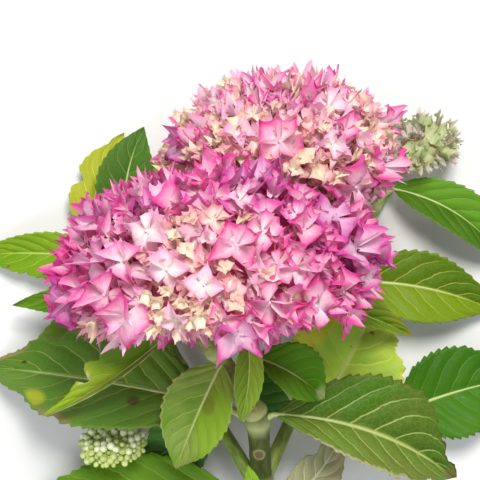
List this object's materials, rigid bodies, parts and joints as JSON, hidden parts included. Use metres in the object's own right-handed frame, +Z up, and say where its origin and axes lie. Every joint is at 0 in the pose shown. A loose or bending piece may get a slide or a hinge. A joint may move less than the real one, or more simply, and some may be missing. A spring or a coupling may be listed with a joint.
{
  "type": "cut hydrangea branch",
  "caption": "Cut flowering hydrangea branch lying down: rounded pink mophead blooms, a tight green bud head, a pale young head and broad toothed leaves on stout green stems.",
  "frame": {"origin": "centre of the bounding box at its lowest point, on the surface that the branch lies on", "axes": "+X across the branch to its right, +Y from the cut end towards the flower end, +Z up"},
  "size_m": [0.292, 0.2866, 0.1689],
  "materials": {
    "stem": "satin",
    "leaf": "satin",
    "bloom": "matte",
    "young_floret": "matte",
    "bud": "satin"
  },
  "bodies": {
    "root": {"main_stem": "stem", "front_peduncle": "stem", "back_shoot": "stem", "left_shoot": "stem", "young_shoot": "stem", "bud_shoot": "stem", "front_bloom": "bloom", "back_bloom": "bloom", "young_head": "young_floret", "bud_head": "bud", "leaf_mid": "leaf", "leaf_small": "leaf", "leaf_right_big": "leaf", "leaf_left_big": "leaf", "leaf_folded": "leaf", "leaf_under": "leaf", "leaf_yellow": "leaf", "leaf_narrow": "leaf", "leaf_right": "leaf", "leaf_arching": "leaf", "leaf_far_right": "leaf", "leaf_left": "leaf", "leaf_left_edge": "leaf", "leaf_left_pale": "leaf", "leaf_dark_up": "leaf", "leaf_yellow_up": "leaf", "leaf_tip_right": "leaf", "leaf_hidden": "leaf", "leaf_behind": "leaf", "leaf_bottom_left": "leaf", "leaf_sprout": "leaf", "leaf_dry": "leaf"}
  },
  "joints": []
}
